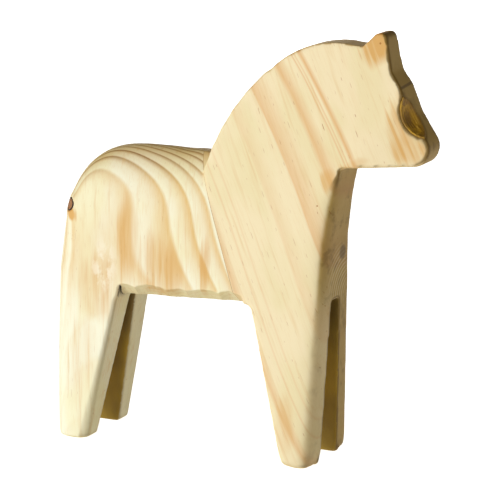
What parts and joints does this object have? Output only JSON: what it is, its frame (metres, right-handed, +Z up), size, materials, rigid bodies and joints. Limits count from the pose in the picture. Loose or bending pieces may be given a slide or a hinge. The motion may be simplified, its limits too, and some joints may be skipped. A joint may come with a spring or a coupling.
{
  "type": "dala horse",
  "caption": "Unpainted carved pine horse of the folk-toy kind, standing on slotted legs, cut from two blocks glued along a leaning joint",
  "frame": {"origin": "on the floor, midway between nose and rump and midway between the two sides", "axes": "+X is forward (the way the head faces), +Y is the horse's left, +Z is up"},
  "size_m": [0.185, 0.0468, 0.2],
  "materials": {
    "pine_fore": "bare sanded pine with broad pale bands",
    "pine_hind": "bare sanded pine with close growth rings",
    "wood_glue": "dried wood glue darkened with dust",
    "beech_dowel": "plain beech dowel",
    "knot_wood": "dense resinous knot wood",
    "bark": "dark inner bark"
  },
  "bodies": {
    "root": {"fore_section": "pine_fore", "hind_section": "pine_hind", "glue_line": "wood_glue", "upper_dowel": "beech_dowel", "lower_dowel": "beech_dowel", "rump_knot": "knot_wood", "rump_knot_bark": "bark", "cheek_bark": "bark"}
  },
  "joints": []
}
